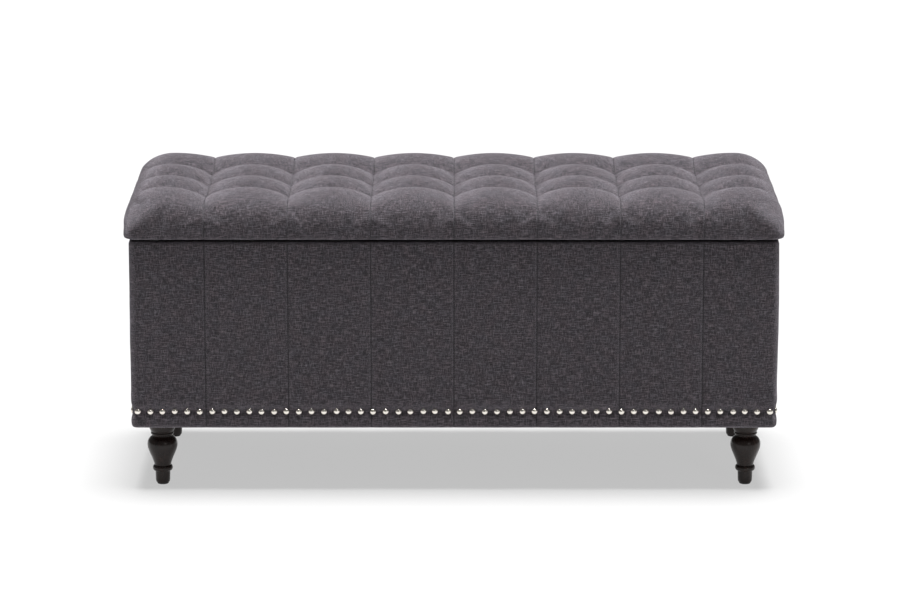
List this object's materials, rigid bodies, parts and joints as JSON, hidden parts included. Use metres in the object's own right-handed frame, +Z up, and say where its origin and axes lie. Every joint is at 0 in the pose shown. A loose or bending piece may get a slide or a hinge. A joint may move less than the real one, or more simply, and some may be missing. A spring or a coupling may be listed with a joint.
{
  "type": "upholstered storage bench",
  "caption": "Long upholstered storage bench with a thick tufted hinged lid, channelled sides, nailhead trim and turned wooden legs.",
  "frame": {"origin": "on the floor, under the middle of the overall box", "axes": "+X along the bench to the right as seen from the front, +Y towards the hinges at the back, +Z up"},
  "size_m": [1.24, 0.4869, 0.575],
  "materials": {
    "plywood": "matte",
    "foam": "matte",
    "linen": "matte",
    "lining": "matte",
    "espresso": "satin",
    "nylon": "matte",
    "nickel": "polished",
    "zinc": "satin",
    "black_steel": "satin"
  },
  "bodies": {
    "box": {"front_board": "plywood", "back_board": "plywood", "left_end_board": "plywood", "right_end_board": "plywood", "floor_board": "plywood", "corner_block_front_left": "plywood", "corner_block_front_right": "plywood", "corner_block_back_left": "plywood", "corner_block_back_right": "plywood", "front_padding": "foam", "back_padding": "foam", "left_padding": "foam", "right_padding": "foam", "box_cover": "linen", "box_lining": "lining", "dust_cover": "lining", "lid_bumper_left": "lining", "lid_bumper_right": "lining", "leg_front_left": "espresso", "leg_front_right": "espresso", "leg_back_left": "espresso", "leg_back_right": "espresso", "foot_glide_front_left": "nylon", "foot_glide_front_right": "nylon", "foot_glide_back_left": "nylon", "foot_glide_back_right": "nylon", "front_nail_row": "nickel", "left_nail_row": "nickel", "right_nail_row": "nickel", "tee_nut_front_left": "zinc", "tee_nut_front_right": "zinc", "tee_nut_back_left": "zinc", "tee_nut_back_right": "zinc", "hanger_bolt_front_left": "zinc", "hanger_bolt_front_right": "zinc", "hanger_bolt_back_left": "zinc", "hanger_bolt_back_right": "zinc", "hinge_left_box_leaf": "zinc", "hinge_right_box_leaf": "zinc", "hinge_left_pin": "zinc", "hinge_right_pin": "zinc", "stay_stud_left": "black_steel", "stay_stud_right": "black_steel"},
    "lid": {"lid_board": "plywood", "lid_foam": "foam", "lid_cover": "linen", "lid_lining": "lining", "hinge_left_lid_leaf": "zinc", "hinge_right_lid_leaf": "zinc", "stay_bracket_left": "black_steel", "stay_bracket_right": "black_steel", "stay_rivet_left": "zinc", "stay_rivet_right": "zinc"},
    "stay_left": {"stay_arm_left": "black_steel"},
    "stay_right": {"stay_arm_right": "black_steel"}
  },
  "joints": [
    {"name": "lid_hinge", "type": "hinge", "parent": "box", "child": "lid", "pos_m": [0, 0.2405, 0.48375], "axis": [-1, 0, 0], "range_deg": [0, 85]},
    {"name": "stay_left_pivot", "type": "hinge", "parent": "lid", "child": "stay_left", "pos_m": [0, 0.08103, 0.47075], "axis": [-1, 0, 0], "range_deg": [-43, 0]},
    {"name": "stay_right_pivot", "type": "hinge", "parent": "lid", "child": "stay_right", "pos_m": [0, 0.08103, 0.47075], "axis": [-1, 0, 0], "range_deg": [-43, 0]}
  ],
  "couplings": [
    {"joint": "stay_left_pivot", "follows": "lid_hinge", "ratio": -0.5},
    {"joint": "stay_right_pivot", "follows": "lid_hinge", "ratio": -0.5}
  ]
}
